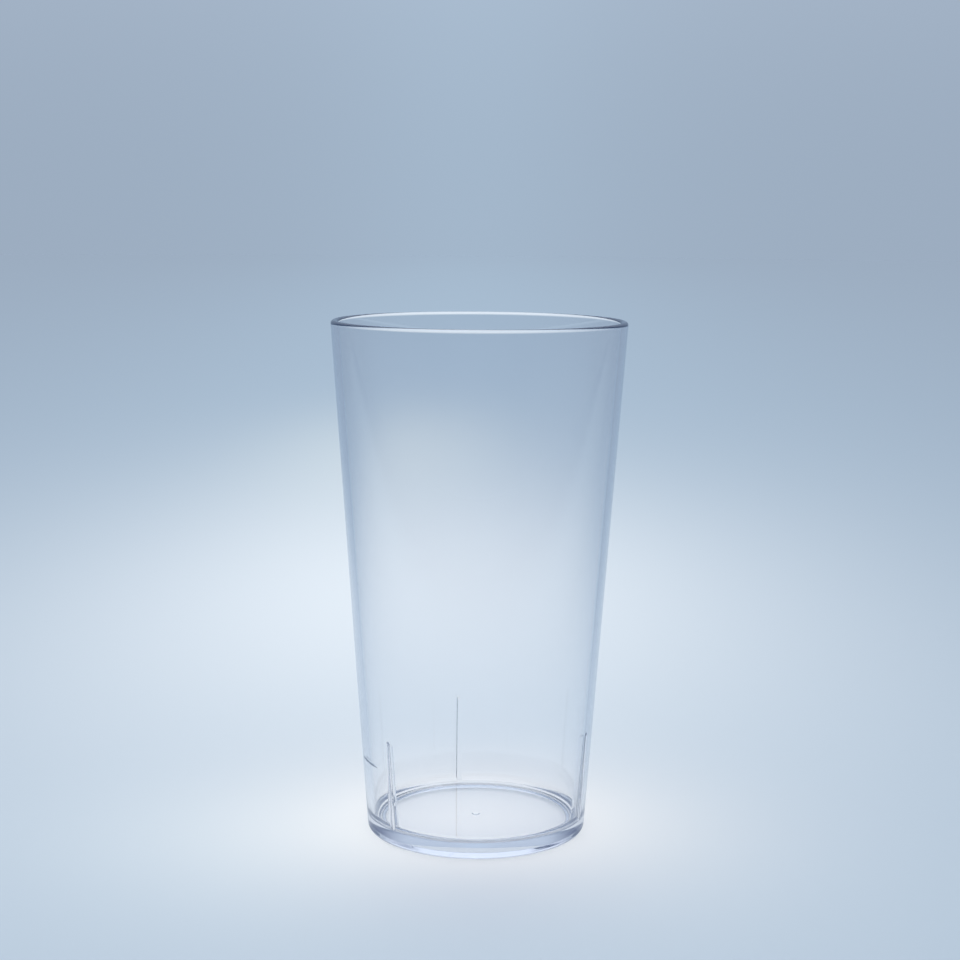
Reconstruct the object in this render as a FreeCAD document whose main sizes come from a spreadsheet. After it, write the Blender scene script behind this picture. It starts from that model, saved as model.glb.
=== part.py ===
"""Clear moulded tumbler cup: one injection-moulded piece.

Frame: millimetres, +Z up, origin on the cup's axis at the level that the foot ring rests on.
One stacking rib stands on +Y. The short level mark on the inner wall starts at -X and turns to -Y.
"""

import FreeCAD, Part

import os

import Sketcher

NODE = "tumbler"

DRIVING_SIZES = {
    # Outside of the cup
    "cup_height": 154.5,
    "mouth_radius": 44.0,
    "base_radius": 33.0,
    # Wall, measured level, at the lip and at the inner floor
    "lip_wall": 2.2,
    "foot_wall": 2.2,
    # Base: level of the inner floor, and the recess inside the foot ring
    "floor_level": 4.2,
    "recess_depth": 1.2,
    "foot_width": 3.8,
    "foot_draft": 1.5,
    # Stub that the moulding gate leaves under the middle of the floor
    "gate_radius": 1.2,
    "gate_tip_radius": 0.8,
    "gate_drop": 0.6,
    # Rounded edges
    "lip_round": 0.9,
    "inner_corner": 3.0,
    "outer_bevel": 1.1,
    # Stacking ribs on the inner wall
    "rib_count": 3,
    "rib_top_level": 31.5,
    "rib_top_width": 0.8,
    "rib_foot_width": 1.8,
    "rib_top_reach": 1.2,
    "rib_foot_reach": 1.5,
    "rib_bevel": 0.25,
    # Short level mark, cut into the inner wall
    "mark_level": 22.9,
    "mark_width": 0.7,
    "mark_depth": 0.25,
    "mark_turn": 22.0,
}

# How far a cutting section starts inside the open cup, so that it cuts cleanly
CUT_CLEARANCE = 0.3

# A rounded or bevelled edge never takes more than this share of the wall that it runs along
LARGEST_SHARE = 0.45

# Two lengths nearer than this are taken as the same when an edge is looked up
TOLERANCE = 1e-4


def outside_at(level):
    """Gives the outer radius at a level as a formula: the wall leans out in a straight line."""
    lean = "(Sizes.mouth_radius - Sizes.base_radius) / Sizes.cup_height"
    return f"(Sizes.base_radius + {lean} * ({level}))"


def wall_at(level):
    """Gives the wall, measured level, as a formula: it thins evenly from the floor to the lip."""
    rise = "(Sizes.cup_height - Sizes.floor_level)"
    share = f"(({level}) - Sizes.floor_level) / {rise}"
    return f"(Sizes.foot_wall + (Sizes.lip_wall - Sizes.foot_wall) * {share})"


def inside_at(level):
    """Gives the inner radius at a level as a formula."""
    return f"({outside_at(level)} - {wall_at(level)})"


def limited(edge_size, wall):
    """Gives a rounding or bevel as a formula, held to its share of the wall that it runs along."""
    return f"min({edge_size}; {LARGEST_SHARE} * {wall})"


def make_sheet(doc):
    """Puts the driving sizes into the spreadsheet, each in a cell with a name."""
    sheet = doc.addObject("Spreadsheet::Sheet", "Sizes")
    for row, (name, value) in enumerate(DRIVING_SIZES.items(), start=1):
        sheet.set(f"A{row}", name)
        sheet.set(f"B{row}", str(value))
        sheet.setAlias(f"B{row}", name)
    doc.recompute()
    return sheet


def size(body, formula):
    """Works out a formula of the sheet's sizes."""
    return float(body.evalExpression(formula))


def origin_part(body, role):
    """Finds one of a body's own origin planes or axes."""
    return next(item for item in body.Origin.OriginFeatures if item.Role == role)


def new_sketch(body, name, plane, level=None):
    """Adds an empty sketch on an origin plane, raised to a level where a formula gives one."""
    sketch = body.newObject("Sketcher::SketchObject", name)
    sketch.AttachmentSupport = [(origin_part(body, plane), "")]
    sketch.MapMode = "FlatFace"
    if level:
        sketch.setExpression("AttachmentOffset.Base.z", level)
    return sketch


def set_distance(sketch, kind, side, end, formula):
    """Binds a level or upright distance from the sketch's origin to a formula, or puts it on an axis.

    A formula of None means zero, which is a point on the axis itself.
    """
    if formula is None:
        axis = -2 if kind == "DistanceX" else -1
        sketch.addConstraint(Sketcher.Constraint("PointOnObject", side, end, axis))
        return
    value = size(sketch, formula)
    index = sketch.addConstraint(Sketcher.Constraint(kind, -1, 1, side, end, value))
    sketch.setExpression(f"Constraints[{index}]", formula)


def draw_outline(sketch, corners):
    """Draws a closed outline of straight sides, with each corner's two distances bound.

    Side i runs from corner i to the next corner.
    """
    values = [[0.0 if part is None else size(sketch, part) for part in corner] for corner in corners]
    points = [FreeCAD.Vector(across, up, 0) for across, up in values]
    following = points[1:] + points[:1]
    for start, end in zip(points, following):
        sketch.addGeometry(Part.LineSegment(start, end), False)
    for side in range(len(points)):
        after = (side + 1) % len(points)
        sketch.addConstraint(Sketcher.Constraint("Coincident", side, 2, after, 1))
    for side, (across, up) in enumerate(corners):
        set_distance(sketch, "DistanceX", side, 1, across)
        set_distance(sketch, "DistanceY", side, 1, up)


def add_shell(body):
    """Revolves the cup's section: gate stub, recess, foot ring, leaning wall, lip and floor."""
    gate_level = "Sizes.recess_depth - Sizes.gate_drop"
    foot_inside = "Sizes.base_radius - Sizes.foot_width"
    section = new_sketch(body, "CupSection", "XZ_Plane")
    draw_outline(
        section,
        [
            (None, gate_level),
            ("Sizes.gate_tip_radius", gate_level),
            ("Sizes.gate_radius", "Sizes.recess_depth"),
            (f"{foot_inside} - Sizes.foot_draft", "Sizes.recess_depth"),
            (foot_inside, None),
            ("Sizes.base_radius", None),
            ("Sizes.mouth_radius", "Sizes.cup_height"),
            ("Sizes.mouth_radius - Sizes.lip_wall", "Sizes.cup_height"),
            (inside_at("Sizes.floor_level"), "Sizes.floor_level"),
            (None, "Sizes.floor_level"),
        ],
    )
    shell = body.newObject("PartDesign::Revolution", "Shell")
    shell.Profile = section
    shell.ReferenceAxis = (section, ["V_Axis"])
    shell.Angle = 360
    body.Document.recompute()
    return shell


def ring_edges(body, feature, radius, level):
    """Names the edges of a feature that are circles about the cup's axis at a radius and level."""
    wanted_radius = size(body, radius)
    wanted_level = size(body, level)
    names = []
    for number, edge in enumerate(feature.Shape.Edges, start=1):
        if not isinstance(edge.Curve, Part.Circle):
            continue
        centre = edge.Curve.Center
        right_size = abs(edge.Curve.Radius - wanted_radius) < TOLERANCE
        right_level = abs(centre.z - wanted_level) < TOLERANCE
        if right_size and right_level and abs(centre.x) + abs(centre.y) < TOLERANCE:
            names.append(f"Edge{number}")
    return names


def dress_edges(body, name, kind, base, edges, formula):
    """Rounds or bevels edges of the last feature, with the radius or width bound to a formula."""
    if not edges:
        raise RuntimeError(f"{name}: no edge found to dress")
    dressed = body.newObject(f"PartDesign::{kind}", name)
    dressed.Base = (base, edges)
    dressed.setExpression("Radius" if kind == "Fillet" else "Size", formula)
    body.Document.recompute()
    return dressed


def dress_shell(body, shell):
    """Rounds the lip and the inner corner above the floor, and bevels the foot's outer edge."""
    lip = ring_edges(body, shell, "Sizes.mouth_radius", "Sizes.cup_height")
    lip += ring_edges(body, shell, "Sizes.mouth_radius - Sizes.lip_wall", "Sizes.cup_height")
    lip_round = limited("Sizes.lip_round", "Sizes.lip_wall")
    last = dress_edges(body, "LipRound", "Fillet", shell, lip, lip_round)

    inner = ring_edges(body, last, inside_at("Sizes.floor_level"), "Sizes.floor_level")
    last = dress_edges(body, "InnerCorner", "Fillet", last, inner, "Sizes.inner_corner")

    outer = ring_edges(body, last, "Sizes.base_radius", "0")
    bevel = limited("Sizes.outer_bevel", "Sizes.foot_width")
    return dress_edges(body, "OuterBevel", "Chamfer", last, outer, bevel)


def draw_rib_section(body, name, level, width, reach):
    """Draws a rib's level section on +Y, from its nose to a back in the middle of the wall."""
    side = f"{width} / 2"
    nose = f"{inside_at(level)} - {reach}"
    back = f"{inside_at(level)} + {wall_at(level)} / 2"
    sketch = new_sketch(body, name, "XY_Plane", level)
    draw_outline(sketch, [(f"-{side}", nose), (side, nose), (side, back), (f"-{side}", back)])
    return sketch


def add_ribs(body):
    """Lofts one stacking rib from inside the floor to its top, and repeats it round the cup.

    The rib widens towards the floor, because the core that forms it has to draw upwards.
    """
    root = "(Sizes.recess_depth + Sizes.floor_level) / 2"
    top = "Sizes.rib_top_level"
    sections = [
        draw_rib_section(body, "RibFoot", root, "Sizes.rib_foot_width", "Sizes.rib_foot_reach"),
        draw_rib_section(body, "RibTop", top, "Sizes.rib_top_width", "Sizes.rib_top_reach"),
    ]
    body.Document.recompute()
    rib = body.newObject("PartDesign::AdditiveLoft", "Rib")
    rib.Profile = sections[0]
    rib.Sections = sections[1:]
    rib.Ruled = True
    body.Document.recompute()

    ribs = body.newObject("PartDesign::PolarPattern", "Ribs")
    ribs.Originals = [rib]
    ribs.Axis = (origin_part(body, "Z_Axis"), [""])
    ribs.Angle = 360
    ribs.setExpression("Occurrences", "Sizes.rib_count")
    body.Tip = ribs
    body.Document.recompute()
    return ribs


def rib_edges(body, feature):
    """Names the free edges of the ribs: round their tops, and up both sides of their noses.

    A free edge stands clear of the wall, inside the open cup. Those of the tops are level, and
    those of the noses climb more than halfway up the rib.
    """
    top_level = size(body, "Sizes.rib_top_level")
    half_height = (top_level - size(body, "Sizes.floor_level")) / 2
    names = []
    for number, edge in enumerate(feature.Shape.Edges, start=1):
        middle = edge.valueAt((edge.FirstParameter + edge.LastParameter) / 2)
        from_axis = (middle.x**2 + middle.y**2) ** 0.5
        clear = from_axis < size(body, inside_at(str(middle.z))) - TOLERANCE
        low, high = edge.BoundBox.ZMin, edge.BoundBox.ZMax
        on_top = abs(low - top_level) < TOLERANCE and abs(high - top_level) < TOLERANCE
        up_nose = high - low > half_height and high < top_level + TOLERANCE
        if clear and (on_top or up_nose):
            names.append(f"Edge{number}")
    return names


def add_level_mark(body):
    """Cuts the short level mark: a shallow vee turned from -X about the cup's axis towards -Y."""
    half = "Sizes.mark_width / 2"
    low = f"Sizes.mark_level - {half}"
    high = f"Sizes.mark_level + {half}"
    section = new_sketch(body, "MarkSection", "XZ_Plane")
    draw_outline(
        section,
        [
            (f"-({inside_at(low)} - {CUT_CLEARANCE})", low),
            (f"-{inside_at(low)}", low),
            (f"-({inside_at('Sizes.mark_level')} + Sizes.mark_depth)", "Sizes.mark_level"),
            (f"-{inside_at(high)}", high),
            (f"-({inside_at(high)} - {CUT_CLEARANCE})", high),
        ],
    )
    mark = body.newObject("PartDesign::Groove", "LevelMark")
    mark.Profile = section
    mark.ReferenceAxis = (section, ["V_Axis"])
    mark.setExpression("Angle", "Sizes.mark_turn")
    body.Document.recompute()
    return mark


def expect_cut(before, after, name):
    """Stops the build where a cut has taken nothing away."""
    if after.Shape.Volume >= before.Shape.Volume - TOLERANCE:
        raise RuntimeError(f"{name} cuts nothing")


def add_tumbler(doc):
    """Builds the whole cup as one body."""
    body = doc.addObject("PartDesign::Body", "Tumbler")
    body.Label = NODE
    body.Placement = FreeCAD.Placement()
    shell = add_shell(body)
    dress_shell(body, shell)
    ribs = add_ribs(body)
    bevel = limited("Sizes.rib_bevel", "Sizes.rib_top_width")
    edges = rib_edges(body, ribs)
    bevelled = dress_edges(body, "RibBevels", "Chamfer", ribs, edges, bevel)
    mark = add_level_mark(body)
    expect_cut(bevelled, mark, "LevelMark")
    return body


def check_document(doc):
    """Stops the build where any object of the document has failed."""
    for item in doc.Objects:
        if {"Invalid", "Error"} & set(item.State):
            raise RuntimeError(f"{item.Label}: {item.State}")


def write_part(body):
    """Checks a finished body and writes its solid to a file with the body's name."""
    shape = body.Shape
    if shape.isNull() or not shape.isValid() or len(shape.Solids) != 1:
        raise RuntimeError(f"{body.Label}: not one valid solid")
    shape.exportStep(os.path.join("parts", f"{body.Label}.step"))
    print(f"{body.Label}: {shape.Volume / 1000:.2f} cm3, {shape.BoundBox.ZLength:.1f} mm tall")


def main():
    """Builds the document and writes each sub-part."""
    doc = FreeCAD.newDocument("TumblerCup")
    make_sheet(doc)
    body = add_tumbler(doc)
    doc.recompute()
    check_document(doc)
    os.makedirs("parts", exist_ok=True)
    write_part(body)


main()
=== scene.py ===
"""Clear moulded tumbler cup on a pale blue floor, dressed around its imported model.

Everything is in metres in the part's own frame: +Z up along the cup's axis, origin on the axis at
the level that the foot ring rests on, one stacking rib on +Y, the short level mark from -X round
towards -Y.
"""

import logging
import math
from dataclasses import dataclass
from enum import Enum
from typing import Any, Union

import bpy
import numpy as np
from mathutils import Matrix, Vector

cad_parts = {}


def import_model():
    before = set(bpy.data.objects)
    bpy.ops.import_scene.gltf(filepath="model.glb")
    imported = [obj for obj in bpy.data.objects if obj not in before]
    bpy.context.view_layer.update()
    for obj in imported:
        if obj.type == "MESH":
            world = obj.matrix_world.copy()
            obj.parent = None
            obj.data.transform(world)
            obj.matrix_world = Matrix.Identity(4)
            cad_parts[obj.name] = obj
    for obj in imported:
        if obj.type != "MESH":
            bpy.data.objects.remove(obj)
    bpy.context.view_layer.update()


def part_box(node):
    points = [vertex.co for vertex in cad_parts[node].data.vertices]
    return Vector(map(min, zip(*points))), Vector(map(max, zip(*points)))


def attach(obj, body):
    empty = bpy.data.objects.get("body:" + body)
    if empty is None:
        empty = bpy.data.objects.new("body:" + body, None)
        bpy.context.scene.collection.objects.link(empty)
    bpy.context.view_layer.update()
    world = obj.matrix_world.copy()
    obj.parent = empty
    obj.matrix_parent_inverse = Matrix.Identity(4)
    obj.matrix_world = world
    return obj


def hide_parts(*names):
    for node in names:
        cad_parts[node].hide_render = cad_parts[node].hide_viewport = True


LOG = logging.getLogger("tumbler_scene")
NODE = "tumbler"
MM = 0.001
LIGHT_BOUNCES = 32
VIEW_TURN = math.radians(-10.7)

Array = np.ndarray
Colour = tuple[float, float, float]
Socket = bpy.types.NodeSocket
Value = Union[float, Socket]


class Side(Enum):
    """Which skin of the cup a stretch of the section belongs to."""

    UNDER = 0
    OUTER = 1
    INNER = 2


@dataclass(frozen=True)
class Corner:
    """One corner of the cup's section.

    Attributes:
        radius: Distance from the axis.
        level: Height over the table.
        rounding: Radius of the rounded corner, 0 for a sharp one.
        arc_steps: Steps along the rounded corner.
        run_steps: Steps along the straight run to the next corner.
        side: Skin that the run to the next corner belongs to.
    """

    radius: float
    level: float
    rounding: float = 0.0
    arc_steps: int = 1
    run_steps: int = 1
    side: Side = Side.OUTER


@dataclass(frozen=True)
class Section:
    """The cup's section as rows of points, from the gate stub round to the middle of the floor.

    Attributes:
        radius: Distance of each point from the axis.
        level: Its height over the table.
        is_inner: Whether it is on the inner skin.
    """

    radius: Array
    level: Array
    is_inner: Array


@dataclass
class TumblerCup:
    """The moulded cup: a revolved section whose inner skin carries the ribs and the level mark.

    Radii are measured from the axis, levels from the table and reaches from the inner wall. The
    rows and columns say how finely the mesh follows the shape, and the support is the distance
    of an extra row on each side of a rounded corner, which keeps its shading to itself.
    """

    height: float
    mouth_radius: float = 44.0 * MM
    base_radius: float = 33.0 * MM
    lip_wall: float = 2.2 * MM
    foot_wall: float = 2.2 * MM
    floor_level: float = 4.2 * MM
    recess_depth: float = 1.2 * MM
    foot_width: float = 3.8 * MM
    foot_draft: float = 1.5 * MM
    gate_radius: float = 1.2 * MM
    gate_tip_radius: float = 0.8 * MM
    gate_drop: float = 0.3 * MM
    lip_round: float = 1.08 * MM
    inner_corner: float = 3.0 * MM
    outer_corner: float = 1.5 * MM
    foot_corner: float = 0.5 * MM
    gate_corner: float = 0.2 * MM
    rib_angles: tuple[float, ...] = (math.radians(90), math.radians(210), math.radians(330))
    rib_top_level: float = 31.5 * MM
    rib_top_width: float = 0.8 * MM
    rib_foot_width: float = 1.8 * MM
    rib_top_reach: float = 1.2 * MM
    rib_foot_reach: float = 1.5 * MM
    rib_crown: float = 1.0 * MM
    rib_root_round: float = 0.4 * MM
    rib_squareness: float = 8.0
    mark_level: float = 22.9 * MM
    mark_width: float = 0.7 * MM
    mark_depth: float = 0.14 * MM
    mark_middle: float = math.radians(189.5)
    mark_half_turn: float = math.radians(9.5)
    mark_fade: float = math.radians(1.5)
    support: float = 0.04 * MM
    support_limit: float = 0.3
    wall_rows: int = 40
    crown_rows: int = 9
    rib_rows: int = 8
    mark_rows: int = 19
    mark_margin: float = 1.5
    foot_rows: int = 16
    nose_columns: int = 16
    side_columns: int = 3
    side_share: float = 0.02
    root_columns: int = 5
    sweep_columns: int = 36
    sweep_power: float = 1.25

    def outside_at(self, level: Array | float) -> Array | float:
        """Outer radius at a level: a straight line from the foot to the mouth."""
        return self.base_radius + (self.mouth_radius - self.base_radius) * level / self.height

    def inside_at(self, level: Array | float) -> Array | float:
        """Inner radius at a level: the outer one less a wall that changes evenly to the lip's.

        Args:
            level: Height over the table.

        Returns:
            The radius there.
        """
        share = (level - self.floor_level) / (self.height - self.floor_level)
        wall = self.foot_wall + (self.lip_wall - self.foot_wall) * share
        return self.outside_at(level) - wall

    def section(self) -> Section:
        """Draws the section from straight runs and rounded corners.

        Returns:
            The rows of the section, from the middle of the underside to the middle of the floor.
        """
        foot_inside = self.base_radius - self.foot_width
        gate_level = self.recess_depth - self.gate_drop
        floor_edge = self.inside_at(self.floor_level)
        corners = [
            Corner(0.0, gate_level, run_steps=3, side=Side.UNDER),
            Corner(self.gate_tip_radius, gate_level, self.gate_corner, 4, 2, Side.UNDER),
            Corner(self.gate_radius, self.recess_depth, self.gate_corner, 4, 10, Side.UNDER),
            Corner(foot_inside - self.foot_draft, self.recess_depth, self.foot_corner, 6, 2, Side.UNDER),
            Corner(foot_inside, 0.0, self.foot_corner, 6, 2, Side.UNDER),
            Corner(self.base_radius, 0.0, self.outer_corner, 12, 40, Side.OUTER),
            Corner(self.mouth_radius, self.height, self.lip_round, 14, 1, Side.OUTER),
            Corner(self.mouth_radius - self.lip_wall, self.height, self.lip_round, 14, 1, Side.INNER),
            Corner(floor_edge, self.floor_level, self.inner_corner, 14, 14, Side.INNER),
            Corner(0.0, self.floor_level, side=Side.INNER),
        ]
        rows = [np.array([[corners[0].radius, corners[0].level]])]
        is_inner = [np.array([False])]
        for index in range(1, len(corners)):
            before, here = corners[index - 1], corners[index]
            arc = rounded_corner(corners, index)
            start = rows[-1][-1]
            if index == len(corners) - 2:
                levels = self.inner_wall_levels(start[1], arc[0, 1])
                share = (start[1] - levels) / (start[1] - arc[0, 1])
            else:
                near = min(self.support / np.linalg.norm(arc[0] - start), self.support_limit)
                share = np.linspace(0.0, 1.0, before.run_steps + 1)
                share = np.unique(np.concatenate([share, [near, 1.0 - near]]))[1:]
            run = start + share[:, None] * (arc[0] - start)
            rows += [run, arc[1:]]
            is_inner += [np.full(len(run), before.side is Side.INNER)]
            is_inner += [np.full(len(arc) - 1, here.side is Side.INNER)]
        points = np.concatenate(rows)
        return Section(points[:, 0], points[:, 1], np.concatenate(is_inner))

    def inner_wall_levels(self, top: float, bottom: float) -> Array:
        """Levels of the rows down the inner wall, close together where the ribs and mark need it.

        Args:
            top: Level that the wall starts from, which is left out.
            bottom: Level that it ends at, which is kept.

        Returns:
            Levels in falling order.
        """
        turn = np.linspace(0, math.pi / 2, self.crown_rows)
        crown = self.rib_top_level - self.rib_crown * (1 - np.cos(turn))
        margin = self.mark_margin
        mark = self.mark_level + self.mark_width / 2 * np.linspace(margin, -margin, self.mark_rows)
        plain = np.linspace(top - self.support, self.rib_top_level + self.rib_crown, self.wall_rows)
        between = np.linspace(crown[-1], mark[0], self.rib_rows)[1:-1]
        foot = np.linspace(mark[-1], bottom + self.support, self.foot_rows)[1:]
        return np.concatenate([plain, crown, between, mark, foot, [bottom]])

    def columns(self) -> tuple[Array, Array]:
        """Places the columns of one sector about its rib.

        Returns:
            Each column's place across the rib, in half widths of the rib (1 is its side), and
            its share of the way from the rib's root to the sector's end (0 on the rib).
        """
        nose = np.sin(np.linspace(-math.pi / 2, math.pi / 2, self.nose_columns + 1))
        side = 1 + np.linspace(0, self.side_share, self.side_columns)[1:]
        root_end = 1 + self.rib_root_round / self.rib_foot_width * 2
        root = np.linspace(side[-1], root_end, self.root_columns)[1:]
        right = np.concatenate([side, root])
        sweep = np.linspace(0, 1, self.sweep_columns + 1)[1:] ** self.sweep_power
        across = np.concatenate([
            np.full(self.sweep_columns, -right[-1]), -right[::-1], nose, right,
            np.full(self.sweep_columns, right[-1]),
        ])
        away = np.concatenate([-sweep[::-1], np.zeros(len(nose) + 2 * len(right)), sweep])
        return across[:-1], away[:-1]

    def surface(self) -> tuple[Array, Array, Array]:
        """Works out the whole skin on a grid of section rows by columns round the cup.

        The inner skin's radius is the least of the plain wall's and the rib's: the rib's nose is
        a superellipse across its width, nearly flat with rounded edges, its top is a quarter
        ellipse in level, and its root runs into the wall on a quarter round. The level mark
        adds a vee of its depth to the wall's radius, faded out at both ends.

        Returns:
            x, y and z of the grid's points.
        """
        section = self.section()
        across, away = self.columns()
        radius = section.radius[:, None]
        level = section.level[:, None]
        carved = (section.is_inner & (section.level < self.rib_top_level))[:, None]

        drop = np.clip((self.rib_top_level - level) / (self.rib_top_level - self.floor_level), 0, 1)
        half_width = (self.rib_top_width + (self.rib_foot_width - self.rib_top_width) * drop) / 2
        full_reach = self.rib_top_reach + (self.rib_foot_reach - self.rib_top_reach) * drop
        over = np.clip((level - self.rib_top_level + self.rib_crown) / self.rib_crown, 0, 1)
        reach = full_reach * np.sqrt(1 - over**2)

        wall = self.inside_at(level)
        power = self.rib_squareness
        nose = half_width * (1 - (1 - np.clip(np.abs(across), 0, 1) ** power) ** (1 / power))
        root_end = np.abs(across).max()
        root = np.clip((root_end - np.abs(across)) / (root_end - 1.0), 0, 1)
        root_fill = self.rib_root_round * (1 - np.sqrt(1 - root**2))
        rib_radius = np.where(
            np.abs(across) <= 1.0, wall - reach + nose, wall - np.minimum(root_fill, reach)
        )
        cut = np.clip(1 - np.abs(level - self.mark_level) / (self.mark_width / 2), 0, 1) * self.mark_depth

        half_sector = math.pi / len(self.rib_angles)
        rib_turn = across * half_width / np.maximum(wall, self.gate_radius)
        sectors = []
        for angle in self.rib_angles:
            turn = angle + rib_turn + away * (half_sector - np.abs(rib_turn))
            off = np.abs((turn - self.mark_middle + math.pi) % (2 * math.pi) - math.pi)
            fade = np.clip((self.mark_half_turn - off) / self.mark_fade, 0, 1)
            skin = np.where(carved, np.minimum(radius, rib_radius) + cut * fade, radius)
            skin = np.broadcast_to(skin, turn.shape)
            sectors.append((skin * np.cos(turn), skin * np.sin(turn)))
        x = np.concatenate([part[0] for part in sectors], axis=1)
        y = np.concatenate([part[1] for part in sectors], axis=1)
        return x, y, np.broadcast_to(level, x.shape)

    def build(self) -> bpy.types.Object:
        """Builds the cup's closed mesh.

        Returns:
            The cup's object, at the origin.
        """
        return closed_revolved_mesh("cup_moulding", *self.surface())


def rounded_corner(corners: list[Corner], index: int) -> Array:
    """Gives the points of a corner: the corner itself, or an arc tangent to both of its runs.

    The arc's centre lies on the line that halves the corner's angle, at the rounding divided by
    the sine of half that angle, and the arc turns evenly from one tangent point to the other.
    A sharp corner is given twice, as an arc of no length.

    Args:
        corners: All corners of the section.
        index: Which corner.

    Returns:
        Points as rows of (radius, level).
    """
    here = np.array([corners[index].radius, corners[index].level])
    rounding = corners[index].rounding
    if rounding <= 0:
        return np.stack([here, here])
    before = np.array([corners[index - 1].radius, corners[index - 1].level]) - here
    after = np.array([corners[index + 1].radius, corners[index + 1].level]) - here
    before /= np.linalg.norm(before)
    after /= np.linalg.norm(after)
    half = math.acos(float(np.clip(before @ after, -1, 1))) / 2
    centre = here + (before + after) / np.linalg.norm(before + after) * rounding / math.sin(half)
    start = here + before * rounding / math.tan(half) - centre
    end = here + after * rounding / math.tan(half) - centre
    turn = math.pi - 2 * half
    share = np.linspace(0, 1, corners[index].arc_steps + 1)[:, None]
    return centre + (np.sin((1 - share) * turn) * start + np.sin(share * turn) * end) / math.sin(turn)


def closed_revolved_mesh(name: str, x: Array, y: Array, z: Array) -> bpy.types.Object:
    """Turns a grid that closes on itself sideways, and ends in two poles, into a smooth mesh.

    Args:
        name: The object's name.
        x: Across, one row for each point of the section. The first and last rows are poles.
        y: Along.
        z: Up.

    Returns:
        The linked object.
    """
    rows, count = x.shape
    ring = np.stack([x[1:-1], y[1:-1], z[1:-1]], axis=-1).reshape(-1, 3)
    poles = np.array([[0, 0, z[0, 0]], [0, 0, z[-1, 0]]])
    points = np.concatenate([ring, poles])
    column = np.arange(count)
    following = (column + 1) % count
    row = np.arange(rows - 3)[:, None] * count
    quads = np.stack([row + column, row + following, row + count + following, row + count + column], -1)
    last = (rows - 3) * count
    bottom, top = len(ring), len(ring) + 1
    first_fan = np.stack([np.full(count, bottom), following, column], -1)
    last_fan = np.stack([last + column, last + following, np.full(count, top)], -1)
    faces = quads.reshape(-1, 4).tolist() + first_fan.tolist() + last_fan.tolist()
    mesh = bpy.data.meshes.new(name)
    mesh.from_pydata(points.tolist(), [], faces)
    mesh.polygons.foreach_set("use_smooth", np.ones(len(faces), dtype=bool))
    mesh.update()
    piece = bpy.data.objects.new(name, mesh)
    bpy.context.scene.collection.objects.link(piece)
    return piece


class Nodes:
    """A small helper that lays out one node tree."""

    def __init__(self, tree: bpy.types.NodeTree) -> None:
        """Empties the tree."""
        self.tree = tree
        tree.nodes.clear()

    def add(self, kind: str, **settings: Any) -> bpy.types.Node:
        """Adds a node.

        Args:
            kind: The node's type.
            settings: Its properties by name.

        Returns:
            The node.
        """
        node = self.tree.nodes.new(kind)
        for key, value in settings.items():
            setattr(node, key, value)
        return node

    def link(self, source: Socket, target: Socket) -> None:
        """Joins two sockets."""
        self.tree.links.new(source, target)

    def math(self, operation: str, *values: Value) -> Socket:
        """Adds a Math node.

        Args:
            operation: What it does.
            values: Its inputs, each a number or a socket.

        Returns:
            Its result.
        """
        node = self.add("ShaderNodeMath", operation=operation)
        for index, value in enumerate(values):
            if isinstance(value, (int, float)):
                node.inputs[index].default_value = value
            else:
                self.link(value, node.inputs[index])
        return node.outputs[0]

    def tinted(self, strength: Value, colour: Colour) -> Socket:
        """Scales a colour by a strength.

        Args:
            strength: A number or a socket.
            colour: Red, green and blue in linear light.

        Returns:
            The scaled colour.
        """
        node = self.add("ShaderNodeVectorMath", operation="SCALE")
        node.inputs[0].default_value = colour
        if isinstance(strength, (int, float)):
            node.inputs["Scale"].default_value = strength
        else:
            self.link(strength, node.inputs["Scale"])
        return node.outputs[0]

    def sum(self, colours: list[Socket]) -> Socket:
        """Adds colours up.

        Args:
            colours: The colours, at least one.

        Returns:
            Their sum.
        """
        total = colours[0]
        for colour in colours[1:]:
            node = self.add("ShaderNodeVectorMath", operation="ADD")
            self.link(total, node.inputs[0])
            self.link(colour, node.inputs[1])
            total = node.outputs[0]
        return total

    def fade(self, value: Socket, full: float, none: float) -> Socket:
        """Falls smoothly from 1 to 0 as a value goes from one limit to another.

        Args:
            value: What drives it.
            full: Value with the result 1.
            none: Value with the result 0.

        Returns:
            The share.
        """
        node = self.add("ShaderNodeMapRange", interpolation_type="SMOOTHSTEP")
        self.link(value, node.inputs["Value"])
        node.inputs["From Min"].default_value = full
        node.inputs["From Max"].default_value = none
        node.inputs["To Min"].default_value = 1.0
        node.inputs["To Max"].default_value = 0.0
        return node.outputs[0]

    def blend(self, share: Socket, none: Union[Colour, Socket], full: Union[Colour, Socket]) -> Socket:
        """Mixes two colours.

        Args:
            share: 0 for the first colour, 1 for the second.
            none: The first colour, as a value or a socket.
            full: The second one.

        Returns:
            The mixed colour.
        """
        node = self.add("ShaderNodeMix", data_type="RGBA")
        sockets = (node.inputs[0], node.inputs[6], node.inputs[7])
        for socket, value in zip(sockets, (share, none, full)):
            if isinstance(value, tuple):
                socket.default_value = (*value, 1.0)
            else:
                self.link(value, socket)
        return node.outputs[2]


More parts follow.
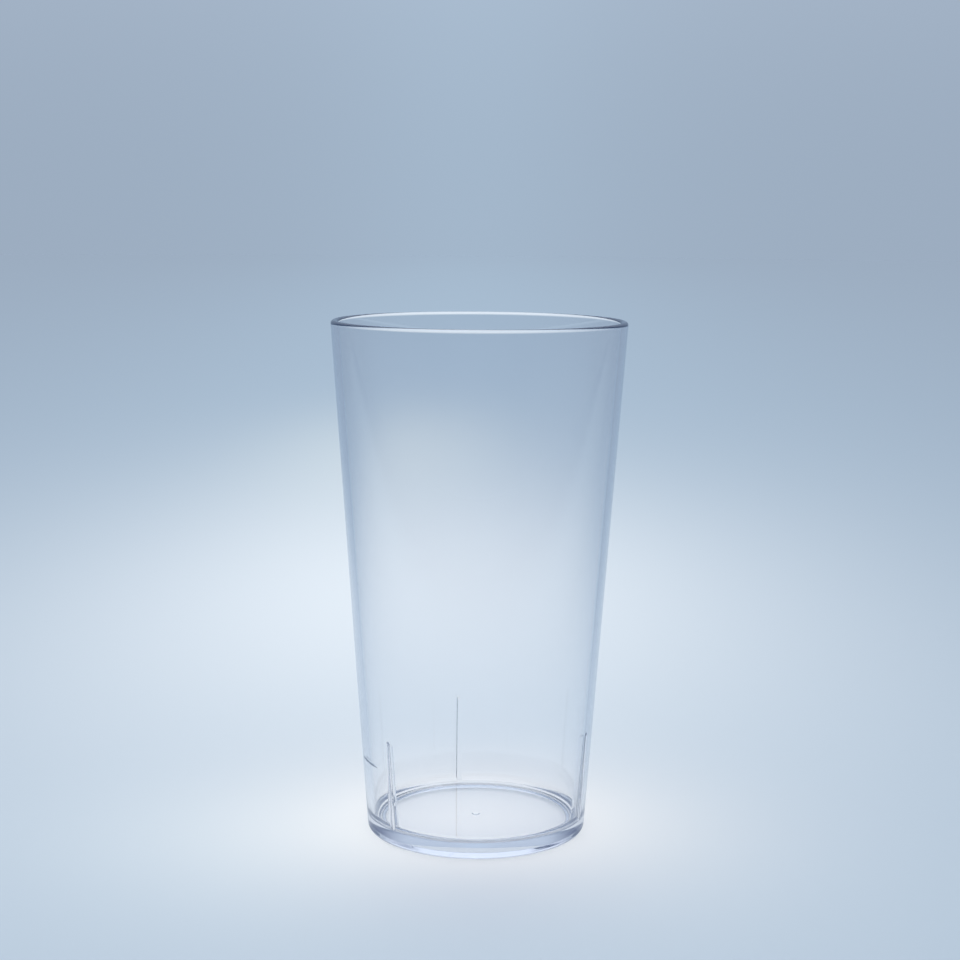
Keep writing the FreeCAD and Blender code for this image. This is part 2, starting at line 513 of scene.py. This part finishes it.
@dataclass(frozen=True)
class ClearPlasticFinish:
    """Clear, polished, faintly blue moulded plastic.

    Attributes:
        slot: The material's name.
        tint: Colour that the light takes on in the plastic.
        bend: Refractive index.
        roughness: Roughness of the polished skin.
        painted_glow: Colour of a very weak glow, which stands in for light scattered inside the wall.
        painted_glow_strength: Strength of that glow.
        ripple_size: Width of the skin's flow ripples.
        ripple_stretch: Their width over their length.
        ripple_height: Their height.
    """

    slot: str = "clear_plastic"
    tint: tuple[float, float, float, float] = (0.998, 0.999, 1.0, 1.0)
    bend: float = 1.57
    roughness: float = 0.0
    painted_glow: tuple[float, float, float, float] = (0.05, 0.3, 1.0, 1.0)
    painted_glow_strength: float = 0.0022
    ripple_size: float = 14.0 * MM
    ripple_stretch: float = 0.25
    ripple_height: float = 0.012 * MM

    def material(self) -> bpy.types.Material:
        """Builds the plastic as a single shader, so that it stays clear wherever it is shown.

        Returns:
            The material.
        """
        material = bpy.data.materials.new(self.slot)
        material.use_nodes = True
        nodes = Nodes(material.node_tree)
        shader = nodes.add("ShaderNodeBsdfPrincipled")
        shader.inputs["Base Color"].default_value = self.tint
        shader.inputs["Transmission Weight"].default_value = 1.0
        shader.inputs["IOR"].default_value = self.bend
        shader.inputs["Roughness"].default_value = self.roughness
        # Painted glow: a faint emission that stands in for light scattered inside the wall.
        shader.inputs["Emission Color"].default_value = self.painted_glow
        shader.inputs["Emission Strength"].default_value = self.painted_glow_strength
        nodes.link(self.ripples(nodes), shader.inputs["Normal"])
        output = nodes.add("ShaderNodeOutputMaterial")
        nodes.link(shader.outputs[0], output.inputs["Surface"])
        return material

    def ripples(self, nodes: Nodes) -> Socket:
        """Builds the faint flow ripples of the moulding, drawn out along the cup's height.

        Args:
            nodes: The tree to build in.

        Returns:
            The rippled normal.
        """
        place = nodes.add("ShaderNodeMapping", vector_type="POINT")
        place.inputs["Scale"].default_value = (1.0, 1.0, self.ripple_stretch)
        nodes.link(nodes.add("ShaderNodeTexCoord").outputs["Object"], place.inputs["Vector"])
        noise = nodes.add("ShaderNodeTexNoise")
        noise.inputs["Scale"].default_value = 1.0 / self.ripple_size
        noise.inputs["Detail"].default_value = 1.0
        nodes.link(place.outputs[0], noise.inputs["Vector"])
        bump = nodes.add("ShaderNodeBump")
        bump.inputs["Distance"].default_value = self.ripple_height
        nodes.link(noise.outputs[0], bump.inputs["Height"])
        return bump.outputs[0]


class Falloff(Enum):
    """How a patch of light fades with r, its squared distance in spreads."""

    HILL = "1 / (1 + r)"
    PEAK = "1 / (1 + r) squared"
    SPOT = "exp(-r)"


@dataclass(frozen=True)
class Glow:
    """A soft patch of painted light on the floor, or of painted shade where its colour is below zero.

    Attributes:
        colour: Red, green and blue at its middle, in linear light.
        middle: Its middle, to the right and away along the view.
        spread: Its reach in the same two directions.
        falloff: How it fades.
    """

    colour: Colour
    middle: tuple[float, float]
    spread: tuple[float, float]
    falloff: Falloff

    def strength(self, nodes: Nodes, right: Value, away: Value) -> Socket:
        """Builds the patch's strength at a place on the floor.

        Args:
            nodes: The tree to build in.
            right: Place to the right.
            away: Place away along the view.

        Returns:
            The strength, 1 at the patch's middle.
        """
        squares = []
        for place, middle, spread in zip((right, away), self.middle, self.spread):
            share = nodes.math("DIVIDE", nodes.math("SUBTRACT", place, middle), spread)
            squares.append(nodes.math("MULTIPLY", share, share))
        distance = nodes.math("ADD", *squares)
        if self.falloff is Falloff.SPOT:
            return nodes.math("EXPONENT", nodes.math("MULTIPLY", distance, -1.0))
        hill = nodes.math("DIVIDE", 1.0, nodes.math("ADD", distance, 1.0))
        return hill if self.falloff is Falloff.HILL else nodes.math("MULTIPLY", hill, hill)


@dataclass(frozen=True)
class Studio:
    """The pale floor, the sky that it fades into, and the dark room round both.

    The far colour is the floor's own, and the glows add painted light and shade to it. The pool is
    the ellipse of floor painted as lit, and the dark colour, painted shade, lies beyond it. The mirror
    colours are painted shade on what a reflection in the plastic shows: what it keeps of the light,
    which stands in for its losses in a real wall.
    """

    floor_radius: float = 6.0
    floor_rings: int = 48
    floor_columns: int = 96
    air_gap: float = 0.05 * MM
    far_colour: Colour = (0.33, 0.41, 0.52)
    dark_colour: Colour = (0.03, 0.06, 0.18)
    first_mirror: Colour = (0.81, 0.84, 0.885)
    next_mirror: Colour = (0.985, 0.99, 0.995)
    # Painted light and shade in the floor's colour: the lit pool far and near, glows round, under, behind
    # and left of the cup, and the cup's painted shadow in front of it.
    far_glow: Glow = Glow((0.07, 0.11, 0.135), (-0.03, 0.33), (0.42, 6.4), Falloff.HILL)
    near_glow: Glow = Glow((0.385, 0.345, 0.295), (-0.03, 0.33), (0.26, 0.52), Falloff.PEAK)
    cup_glow: Glow = Glow((0.235, 0.165, 0.105), (0.0, 0.0), (0.067, 0.067), Falloff.SPOT)
    under_glow: Glow = Glow((0.2, 0.18, 0.13), (0.0, 0.0), (0.034, 0.034), Falloff.SPOT)
    behind_glow: Glow = Glow((0.11, 0.1, 0.065), (-0.07, 0.88), (0.1, 0.32), Falloff.SPOT)
    left_glow: Glow = Glow((0.085, 0.085, 0.07), (-0.035, -0.015), (0.08, 0.055), Falloff.SPOT)
    front_shade: Glow = Glow((-0.12, -0.12, -0.095), (0.0, -0.035), (0.04, 0.055), Falloff.SPOT)
    pool_middle: float = 4.0
    pool_half_width: float = 3.0
    pool_half_length: float = 4.5
    pool_edge: tuple[float, float] = (0.9, 1.15)
    sky_lift: Colour = (2.6, 2.6, 2.8)
    lift_limit: float = 0.25
    sky_edge: tuple[float, float] = (math.radians(27), math.radians(66))
    overhead_edge: tuple[float, float] = (0.85, 0.65)
    least_forward: float = 0.001

    def floor(self) -> bpy.types.Object:
        """Builds the floor as a flat disc, with rings closer together near the cup.

        Returns:
            The floor.
        """
        ring = self.floor_radius * np.linspace(0, 1, self.floor_rings + 1)[:, None] ** 2
        turn = np.linspace(0, 2 * math.pi, self.floor_columns, endpoint=False)[None, :]
        x, y = ring * np.cos(turn), ring * np.sin(turn)
        points = np.stack([x, y, np.full_like(x, -self.air_gap)], -1)[1:].reshape(-1, 3)
        points = np.concatenate([points, [[0, 0, -self.air_gap]]])
        column = np.arange(self.floor_columns)
        following = (column + 1) % self.floor_columns
        row = np.arange(self.floor_rings - 1)[:, None] * self.floor_columns
        outer = row + self.floor_columns
        quads = np.stack([row + column, outer + column, outer + following, row + following], -1)
        fan = np.stack([column, following, np.full_like(column, len(points) - 1)], -1)
        mesh = bpy.data.meshes.new("floor")
        mesh.from_pydata(points.tolist(), [], quads.reshape(-1, 4).tolist() + fan.tolist())
        mesh.update()
        floor = bpy.data.objects.new("floor", mesh)
        bpy.context.scene.collection.objects.link(floor)
        mesh.materials.append(self.floor_material())
        return floor

    def along_view(self, nodes: Nodes, place: Socket) -> tuple[Socket, Socket, Socket]:
        """Turns a place or direction so that it reads right, away and up from the view.

        Args:
            nodes: The tree to build in.
            place: The place or direction.

        Returns:
            Its three parts.
        """
        turn = nodes.add("ShaderNodeMapping", vector_type="POINT")
        turn.inputs["Rotation"].default_value = (0, 0, -VIEW_TURN)
        nodes.link(place, turn.inputs["Vector"])
        split = nodes.add("ShaderNodeSeparateXYZ")
        nodes.link(turn.outputs[0], split.inputs[0])
        return split.outputs[0], split.outputs[1], split.outputs[2]

    def painted_reflection_shade(self, nodes: Nodes, colour: Socket) -> Socket:
        """Paints shade on a colour where the plastic reflects it, dimming it by each reflection on its
        way to the eye.

        The first reflection takes the first mirror's share and each later one the next mirror's.

        Args:
            nodes: The tree to build in.
            colour: The colour as it is seen directly.

        Returns:
            The dimmed colour.
        """
        count = nodes.add("ShaderNodeLightPath").outputs["Glossy Depth"]
        once = nodes.math("MINIMUM", count, 1.0)
        again = nodes.math("SUBTRACT", count, once)
        share = nodes.add("ShaderNodeCombineXYZ")
        for index, (first, later) in enumerate(zip(self.first_mirror, self.next_mirror)):
            early = nodes.math("POWER", first, once)
            late = nodes.math("POWER", later, again)
            nodes.link(nodes.math("MULTIPLY", early, late), share.inputs[index])
        node = nodes.add("ShaderNodeVectorMath", operation="MULTIPLY")
        nodes.link(colour, node.inputs[0])
        nodes.link(share.outputs[0], node.inputs[1])
        return node.outputs[0]

    def floor_material(self) -> bpy.types.Material:
        """Builds the floor: a far colour, soft patches of painted light and shade, and the painted dark
        beyond.

        Returns:
            The material.
        """
        material = bpy.data.materials.new("pale_floor")
        material.use_nodes = True
        nodes = Nodes(material.node_tree)
        place = nodes.add("ShaderNodeTexCoord").outputs["Object"]
        right, away, _ = self.along_view(nodes, place)
        lights = [nodes.tinted(1.0, self.far_colour)]
        glows = (
            self.far_glow, self.near_glow, self.cup_glow, self.under_glow,
            self.behind_glow, self.left_glow, self.front_shade,
        )
        for glow in glows:
            lights.append(nodes.tinted(glow.strength(nodes, right, away), glow.colour))
        aside = nodes.math("DIVIDE", right, self.pool_half_width)
        past = nodes.math("SUBTRACT", away, self.pool_middle)
        onward = nodes.math("DIVIDE", past, self.pool_half_length)
        squares = [nodes.math("MULTIPLY", share, share) for share in (aside, onward)]
        reach = nodes.math("SQRT", nodes.math("ADD", *squares))
        pool = nodes.fade(reach, *self.pool_edge)
        shader = nodes.add("ShaderNodeBsdfDiffuse")
        # Beyond the lit pool the floor is painted with the dark colour: painted shade for the unlit room.
        colour = nodes.blend(pool, self.dark_colour, nodes.sum(lights))
        # Painted shade: the floor is dimmed where it is seen by reflection in the plastic.
        nodes.link(self.painted_reflection_shade(nodes, colour), shader.inputs["Color"])
        output = nodes.add("ShaderNodeOutputMaterial")
        nodes.link(shader.outputs[0], output.inputs["Surface"])
        return material

    def sky(self) -> None:
        """Builds the sky: an even white light for matt surfaces, and a soft gradient to look at.

        The gradient goes on from the floor's far edge, gets lighter upwards, and falls to the
        dark of the room at the sides and behind, but not high overhead, where the gradient shows.
        """
        world = bpy.data.worlds.new("studio")
        bpy.context.scene.world = world
        world.use_nodes = True
        nodes = Nodes(world.node_tree)
        direction = nodes.add("ShaderNodeTexCoord").outputs["Generated"]
        right, away, upward = self.along_view(nodes, direction)
        forward = nodes.math("MAXIMUM", away, self.least_forward)
        edge_right = nodes.math("DIVIDE", nodes.math("MULTIPLY", right, self.floor_radius), forward)
        strength = self.far_glow.strength(nodes, edge_right, self.floor_radius)
        height = nodes.math("MAXIMUM", upward, 0.0)
        lift = nodes.math("MINIMUM", nodes.math("MULTIPLY", height, height), self.lift_limit)
        lights = [
            nodes.tinted(1.0, self.far_colour),
            nodes.tinted(strength, self.far_glow.colour),
            nodes.tinted(lift, self.sky_lift),
        ]
        azimuth = nodes.math("ABSOLUTE", nodes.math("ARCTAN2", right, away))
        overhead = nodes.fade(height, *self.overhead_edge)
        shown = nodes.math("MAXIMUM", nodes.fade(azimuth, *self.sky_edge), overhead)
        colour = nodes.blend(shown, self.dark_colour, nodes.sum(lights))
        path = nodes.add("ShaderNodeLightPath")
        seen = nodes.math("MAXIMUM", path.outputs["Is Camera Ray"], path.outputs["Is Glossy Ray"])
        seen = nodes.math("MAXIMUM", seen, path.outputs["Is Transmission Ray"])
        fresh = nodes.math("LESS_THAN", path.outputs["Diffuse Depth"], 1.0)
        seen = nodes.math("MULTIPLY", seen, fresh)
        look = nodes.add("ShaderNodeBackground")
        # Painted shade: the sky is dimmed where it is seen by reflection in the plastic.
        nodes.link(self.painted_reflection_shade(nodes, colour), look.inputs["Color"])
        even = nodes.add("ShaderNodeBackground")
        even.inputs["Color"].default_value = (1, 1, 1, 1)
        even.inputs["Strength"].default_value = 1.0
        mix = nodes.add("ShaderNodeMixShader")
        nodes.link(seen, mix.inputs[0])
        nodes.link(even.outputs[0], mix.inputs[1])
        nodes.link(look.outputs[0], mix.inputs[2])
        output = nodes.add("ShaderNodeOutputWorld")
        nodes.link(mix.outputs[0], output.inputs["Surface"])


@dataclass(frozen=True)
class Viewpoint:
    """The camera's place, worked out from the rim, sides and base in the photograph."""

    distance: float = 556.8 * MM
    eye_height: float = 189.3 * MM
    right_offset: float = 0.5 * MM
    turn: float = VIEW_TURN
    pitch_down: float = math.radians(8.44)
    roll: float = math.radians(0.436)
    focal_pixels: float = 1881.0
    frame_pixels: float = 960.0
    sensor: float = 36.0
    clip_start: float = 10.0 * MM

    def place(self) -> bpy.types.Object:
        """Creates the camera and makes it the scene's.

        Returns:
            The camera.
        """
        data = bpy.data.cameras.new("camera")
        data.sensor_width = self.sensor
        data.sensor_fit = "HORIZONTAL"
        data.lens = self.focal_pixels / self.frame_pixels * self.sensor
        data.clip_start = self.clip_start
        camera = bpy.data.objects.new("camera", data)
        heading = Vector((-math.sin(self.turn), math.cos(self.turn), 0))
        right = Vector((math.cos(self.turn), math.sin(self.turn), 0))
        forward = heading * math.cos(self.pitch_down) - Vector((0, 0, math.sin(self.pitch_down)))
        upward = right.cross(forward)
        side = right * math.cos(self.roll) + upward * math.sin(self.roll)
        top = upward * math.cos(self.roll) - right * math.sin(self.roll)
        eye = right * self.right_offset - heading * self.distance + Vector((0, 0, self.eye_height))
        axes = Matrix((side, top, -forward)).transposed().to_4x4()
        camera.matrix_world = Matrix.Translation(eye) @ axes
        bpy.context.scene.collection.objects.link(camera)
        bpy.context.scene.camera = camera
        return camera


def set_light_paths(scene: bpy.types.Scene) -> None:
    """Shows colours plainly and lets light go round the cup's wall often enough to leave it.

    Args:
        scene: The scene.
    """
    scene.view_settings.view_transform = "Standard"
    scene.cycles.max_bounces = LIGHT_BOUNCES
    scene.cycles.glossy_bounces = LIGHT_BOUNCES
    scene.cycles.transmission_bounces = LIGHT_BOUNCES
    scene.cycles.blur_glossy = 0.0


def main() -> None:
    """Builds the cup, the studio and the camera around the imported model."""
    logging.basicConfig(level=logging.INFO, format="%(name)s: %(message)s")
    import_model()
    low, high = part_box(NODE)
    set_light_paths(bpy.context.scene)

    cup = TumblerCup(height=high[2] - low[2])
    piece = cup.build()
    finish = ClearPlasticFinish()
    piece.data.materials.append(finish.material())
    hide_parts(NODE)
    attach(piece, "root")
    LOG.info("cup moulding: %d faces", len(piece.data.polygons))

    studio = Studio()
    studio.floor()
    studio.sky()
    Viewpoint().place()


if __name__ == "__main__":
    main()
